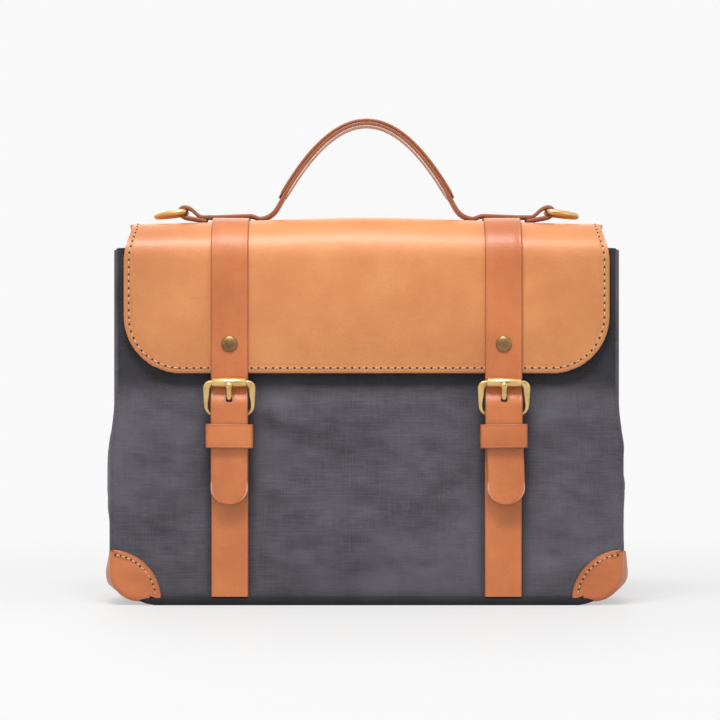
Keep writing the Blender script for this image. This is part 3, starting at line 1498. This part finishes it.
class BAG_OT_straps(Maker):
    """The closure straps, the lower straps and the chapes that hold the buckles"""
    bl_idname = "bag.straps"
    bl_label = "Straps"

    def make(self):
        leather_ = strap_finish()
        low, high = (Vector(p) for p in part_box("lower_strap_right"))
        for name, side in SIDES:
            x = side * STRAP_X
            drift = 1.6 * MM if side > 0 else 0.0
            long = piece("closure_strap_" + name, closure_strap(x, drift), leather_, None, "strap_leather",
                         ["flap_strap_" + name, "back_strap_" + name])
            bend_at_hinge(long)
            piece("sewn_strap_" + name, straight_strap(x, (low.y + high.y) / 2, low.z, high.z, -1),
                  leather_, "bag", "strap_leather", ["lower_strap_" + name])
            piece("buckle_chape_" + name, chape(x), leather_, "flap", "strap_leather", ["chape_" + name])


class BAG_OT_keepers(Maker):
    """The loops that hold the straps' tips"""
    bl_idname = "bag.keepers"
    bl_label = "Keepers"

    def make(self):
        for name, side in SIDES:
            loop = keeper_loop(side * STRAP_X, 0.012 * side)
            piece("keeper_loop_" + name, loop, strap_finish(), "keeper_" + name, "strap_leather",
                  ["keeper_" + name])


class BAG_OT_buckles(Maker):
    """Buckle frames, their rollers and prongs, and the prongs' holes in the straps"""
    bl_idname = "bag.buckles"
    bl_label = "Buckles"

    def make(self):
        brass = metal_finish("brass")
        for name, side in SIDES:
            x = side * STRAP_X
            piece("brass_frame_" + name, buckle_frame(x), brass, "flap", "brass", ["buckle_frame_" + name])
            piece("brass_roller_" + name, buckle_roller(x), brass, "roller_" + name, "brass",
                  ["buckle_roller_" + name])
            piece("brass_prong_" + name, buckle_prong(x), brass, "prong_" + name, "brass",
                  ["buckle_prong_" + name])
            spot = Vector((x, CREST_Y - STRAP_T / 2 - 0.14 * MM, HEEL.z + 10.4 * MM))
            mark = bmesh.new()
            hole(mark, spot, Vector((0, -0.25, 1)), Vector((0, -1, -0.25)), 2.3 * MM, 20)
            piece("prong_hole_" + name, mark, hole_finish(), "flap", "strap_leather")


class BAG_OT_rivets(Maker):
    """Domed rivets that hold the straps to the flap, with their backs"""
    bl_idname = "bag.rivets"
    bl_label = "Rivets"

    def make(self):
        radius = (RIVET_HIGH.x - RIVET_LOW.x) / 2
        z = (RIVET_LOW.z + RIVET_HIGH.z) / 2
        face = FLAP_LOW.y - STRAP_T - 0.1 * MM
        back = Vector(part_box("rivet_back_right")[0]).y
        dome = [(-0.3, 0.93), (0.15, 1.0), (0.55, 1.0), (0.9, 0.93), (1.3, 0.78), (1.65, 0.58), (1.9, 0.34),
                (2.0, 0.12), (2.02, 0.001)]
        for name, side in SIDES:
            cap = lathe([(d * MM, r * radius) for d, r in dome], Vector((side * STRAP_X, face, z)),
                        Vector((0, -1, 0)), 40)
            post = [(0, 1.6 * MM), (face * -1 + back, 1.6 * MM)]
            join(cap, lathe(post, Vector((side * STRAP_X, face, z)), Vector((0, 1, 0)), 16))
            piece("domed_rivet_" + name, cap, metal_finish("antique"), "flap", "rivet_brass",
                  ["rivet_" + name])
            washer = [(-0.1, 0.5), (0, 1.0), (0.7, 1.0), (1.1, 0.85), (1.15, 0.001)]
            disc = lathe([(d * MM, r * (radius - 1 * MM)) for d, r in washer],
                         Vector((side * STRAP_X, back, z)), Vector((0, 1, 0)), 32)
            piece("rivet_washer_" + name, disc, metal_finish("antique"), "flap", "rivet_brass",
                  ["rivet_back_" + name])


class BAG_OT_snaps(Maker):
    """The magnetic snaps behind the buckles"""
    bl_idname = "bag.snaps"
    bl_label = "Snaps"

    def make(self):
        z = (SOCKET_LOW.z + SOCKET_HIGH.z) / 2
        radius = (SOCKET_HIGH.x - SOCKET_LOW.x) / 2
        cup = [(0, 1.0), (0.3, 1.0), (1.7, 0.97), (2.0, 0.9), (2.0, 0.66), (1.6, 0.62), (1.2, 0.6), (1.1, 0.001)]
        stud_low, stud_high = (Vector(p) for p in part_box("snap_stud_right"))
        disc = [(0, 0.9), (0.15, 1.0), (0.75, 1.0), (0.9, 0.94), (0.9, 0.001)]
        for name, side in SIDES:
            bed = Vector((side * STRAP_X, SOCKET_HIGH.y, z))
            shape = lathe([(d * MM, r * radius) for d, r in cup], bed, Vector((0, -1, 0)))
            piece("snap_cup_" + name, shape, metal_finish("steel"), "bag", "snap_steel",
                  ["snap_socket_" + name])
            bed = Vector((side * STRAP_X, stud_low.y, z))
            shape = lathe([(d * MM, r * radius) for d, r in disc], bed, Vector((0, 1, 0)))
            piece("snap_disc_" + name, shape, metal_finish("steel"), "flap", "snap_steel",
                  ["snap_stud_" + name])


class BAG_OT_handle(Maker):
    """The handle: its long strap, padded top layer, pale underside and stitches"""
    bl_idname = "bag.handle"
    bl_label = "Handle"

    def make(self):
        nodes = ["handle_arch", "handle_foot_left", "handle_foot_right"]
        strap = piece("handle_strap", handle_strap(), handle_finish(), None, "handle_leather", nodes)
        bend_at_foot(strap)
        layer = arch_layer(PAD_T / 2, PAD_T - 0.1 * MM, 0.0615, crease=4.2 * MM, crown=0.35 * MM)
        pad = piece("handle_top_layer", layer, pad_finish(), None, "pad_leather", ["handle_pad"])
        bend_at_foot(pad)
        layer = arch_layer(PAD_T + HANDLE_T + 0.1 * MM, 0.5 * MM, 0.0605, narrow=0.5 * MM)
        under = piece("handle_underside", layer, flesh_finish(), None, "handle_leather")
        bend_at_foot(under)
        for obj in add_seams([handle_seam(-1), handle_seam(1)], "handle", None):
            bend_at_foot(obj)


class BAG_OT_rings(Maker):
    """The two rings for a shoulder strap"""
    bl_idname = "bag.rings"
    bl_label = "Rings"

    def make(self):
        for name, side in SIDES:
            piece("brass_ring_" + name, ring(side), metal_finish("brass"), "ring_" + name, "brass",
                  ["ring_" + name])


class BAG_OT_stage(Maker):
    """Camera, lights and the pale floor"""
    bl_idname = "bag.stage"
    bl_label = "Stage"

    def make(self):
        place_camera()
        light_scene()
        lay_floor()


def bend_at_hinge(obj):
    """The leather turns between the back panel and the flap."""
    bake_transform(obj)


def bend_at_foot(obj):
    """The handle's leather turns between its flat feet and its arch."""
    LEAN_Z - 1.5 * MM
    LEAN_Z + 14 * MM
    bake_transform(obj)


def add_seams(lines, name, body):
    """Threads and holes of some stitched lines, as two pieces."""
    threads, holes = bmesh.new(), bmesh.new()
    for line in lines:
        stitched(line, threads, holes)
    slot = {"flap": "flap_leather", "patch": "flap_leather", "handle": "pad_leather"}[name]
    return (piece(name + "_stitches", threads, thread_finish(), body, slot),
            piece(name + "_stitch_holes", holes, hole_finish(), body, slot))


# ---- Camera, light and floor ----

CAMERA_HEIGHT = 0.168
CAMERA_SIDE = -0.0045
CAMERA_DISTANCE = 2.1
VIEW_WIDTH = 0.4932     # what the camera sees across, at the bag's front
BACKGROUND = 0.947


def place_camera():
    data = bpy.data.cameras.new("camera")
    data.sensor_width = 36
    data.lens = 36 * CAMERA_DISTANCE / VIEW_WIDTH
    camera = bpy.data.objects.new("camera", data)
    camera.location = (CAMERA_SIDE, FRONT_FACE - CAMERA_DISTANCE, CAMERA_HEIGHT)
    camera.rotation_euler = (math.radians(90), 0, 0)
    bpy.context.scene.collection.objects.link(camera)
    bpy.context.scene.camera = camera


def softbox(name, place, target, width, height, power):
    data = bpy.data.lights.new(name, "AREA")
    data.shape = "RECTANGLE"
    data.size, data.size_y = width, height
    data.energy = power
    lamp = bpy.data.objects.new(name, data)
    lamp.location = place
    lamp.rotation_euler = (Vector(target) - Vector(place)).to_track_quat("-Z", "Y").to_euler()
    bpy.context.scene.collection.objects.link(lamp)


def hang_dark_card():
    """A dark card that only reflections show, for the metal's and the leather's contrast."""
    bm = bmesh.new()
    shape = Matrix.Translation((0, -3.2, 0.5)) @ Matrix.Rotation(math.radians(90), 4, "X")
    bmesh.ops.create_grid(bm, x_segments=1, y_segments=1, size=1.3, matrix=shape)
    mesh = bpy.data.meshes.new("dark_card")
    bm.to_mesh(mesh)
    bm.free()
    finish = Finish("dark_card_finish")
    finish.surface.inputs["Base Color"].default_value = (0.03, 0.03, 0.03, 1)
    finish.constant(roughness=1.0, specular=0.0)
    mesh.materials.append(finish.material)
    card = bpy.data.objects.new("dark_card", mesh)
    card.visible_camera = False
    card.visible_diffuse = False
    card.visible_shadow = False
    card.visible_transmission = False
    bpy.context.scene.collection.objects.link(card)


def light_scene():
    softbox("key_light", (-0.12, -0.8, 1.6), (0, 0, 0.15), 0.75, 0.42, 24)
    softbox("front_light", (-0.6, -2.2, 0.9), (0, 0, 0.15), 1.4, 1.4, 5)
    softbox("side_light", (1.7, -0.8, 0.7), (0, 0, 0.15), 1.0, 1.2, 3)
    softbox("back_light", (-0.4, 2.0, 1.2), (0, 0, 0.2), 1.6, 1.2, 9)
    hang_dark_card()
    world = bpy.data.worlds.new("studio")
    bpy.context.scene.world = world
    world.use_nodes = True
    tree = world.node_tree
    tree.nodes.clear()
    path = tree.nodes.new("ShaderNodeLightPath")
    seen = tree.nodes.new("ShaderNodeMath")
    seen.operation = "MAXIMUM"
    tree.links.new(path.outputs["Is Camera Ray"], seen.inputs[0])
    clear = tree.nodes.new("ShaderNodeMath")
    clear.operation = "MAXIMUM"
    tree.links.new(seen.outputs[0], clear.inputs[0])
    tree.links.new(path.outputs["Is Transmission Ray"], clear.inputs[1])
    shiny = tree.nodes.new("ShaderNodeMath")
    shiny.operation = "MAXIMUM"
    tree.links.new(clear.outputs[0], shiny.inputs[0])
    tree.links.new(path.outputs["Is Glossy Ray"], shiny.inputs[1])
    fill = tree.nodes.new("ShaderNodeBackground")
    fill.inputs["Color"].default_value = (1, 1, 1, 1)
    fill.inputs["Strength"].default_value = 0.16
    backdrop = tree.nodes.new("ShaderNodeBackground")
    backdrop.inputs["Color"].default_value = (BACKGROUND, BACKGROUND, BACKGROUND, 1)
    mixed = tree.nodes.new("ShaderNodeMixShader")
    tree.links.new(shiny.outputs[0], mixed.inputs[0])
    tree.links.new(fill.outputs[0], mixed.inputs[1])
    tree.links.new(backdrop.outputs[0], mixed.inputs[2])
    output = tree.nodes.new("ShaderNodeOutputWorld")
    tree.links.new(mixed.outputs[0], output.inputs["Surface"])


def lay_floor():
    """A pale floor that keeps the bag's shadow near it and fades into the background."""
    bm = bmesh.new()
    bmesh.ops.create_grid(bm, x_segments=8, y_segments=8, size=6.0)
    mesh = bpy.data.meshes.new("floor")
    bm.to_mesh(mesh)
    bm.free()
    floor = bpy.data.objects.new("floor", mesh)
    bpy.context.scene.collection.objects.link(floor)
    finish = Finish("floor_finish")
    tree = finish.tree
    finish.constant(roughness=0.6, specular=0.2)
    finish.surface.inputs["Base Color"].default_value = (0.65, 0.65, 0.65, 1)
    away = finish.node("ShaderNodeVectorMath", {"operation": "LENGTH"}, {0: finish.place()}, "Value")
    path = finish.node("ShaderNodeLightPath", {}, {}, "Is Camera Ray")
    near = (1 - away.between(0.2, 0.85)) * 0.5
    keep = 1 - path * (1 - near)
    glow = finish.node("ShaderNodeEmission", {}, {"Color": (BACKGROUND, BACKGROUND, BACKGROUND)})
    mixed = finish.node("ShaderNodeMixShader", {}, {0: keep, 1: glow, 2: Wire(finish, finish.surface.outputs[0])})
    tree.links.new(mixed.socket, tree.nodes["Material Output"].inputs["Surface"])
    mesh.materials.append(finish.material)


class BAG_PT_panel(bpy.types.Panel):
    """Lists the bag's sizes, colours and makers"""
    bl_label = "Bag"
    bl_idname = "BAG_PT_panel"
    bl_space_type = "VIEW_3D"
    bl_region_type = "UI"
    bl_category = "Bag"

    def draw(self, context):
        for group in (sizes(), stitch_sizes(), colours()):
            box = self.layout.box()
            for name in group.__annotations__:
                box.prop(group, name)
        for operator in OPERATORS:
            self.layout.operator(operator.bl_idname)


GROUPS = (BagSizes, StitchSizes, BagColours)
OPERATORS = (BAG_OT_stage, BAG_OT_canvas, BAG_OT_base, BAG_OT_inside, BAG_OT_flap, BAG_OT_patches,
             BAG_OT_straps, BAG_OT_keepers, BAG_OT_buckles, BAG_OT_rivets, BAG_OT_snaps, BAG_OT_handle,
             BAG_OT_rings)


def register():
    for cls in GROUPS + OPERATORS + (BAG_PT_panel,):
        bpy.utils.register_class(cls)
    bpy.types.Scene.bag_sizes = bpy.props.PointerProperty(type=BagSizes)
    bpy.types.Scene.bag_stitches = bpy.props.PointerProperty(type=StitchSizes)
    bpy.types.Scene.bag_colours = bpy.props.PointerProperty(type=BagColours)


def unregister():
    del bpy.types.Scene.bag_colours
    del bpy.types.Scene.bag_stitches
    del bpy.types.Scene.bag_sizes
    for cls in reversed(GROUPS + OPERATORS + (BAG_PT_panel,)):
        bpy.utils.unregister_class(cls)


def main():
    register()
    bpy.context.scene.view_settings.view_transform = "Standard"
    for operator in OPERATORS:
        group, name = operator.bl_idname.split(".")
        getattr(getattr(bpy.ops, group), name)()


if __name__ == "__main__":
    main()
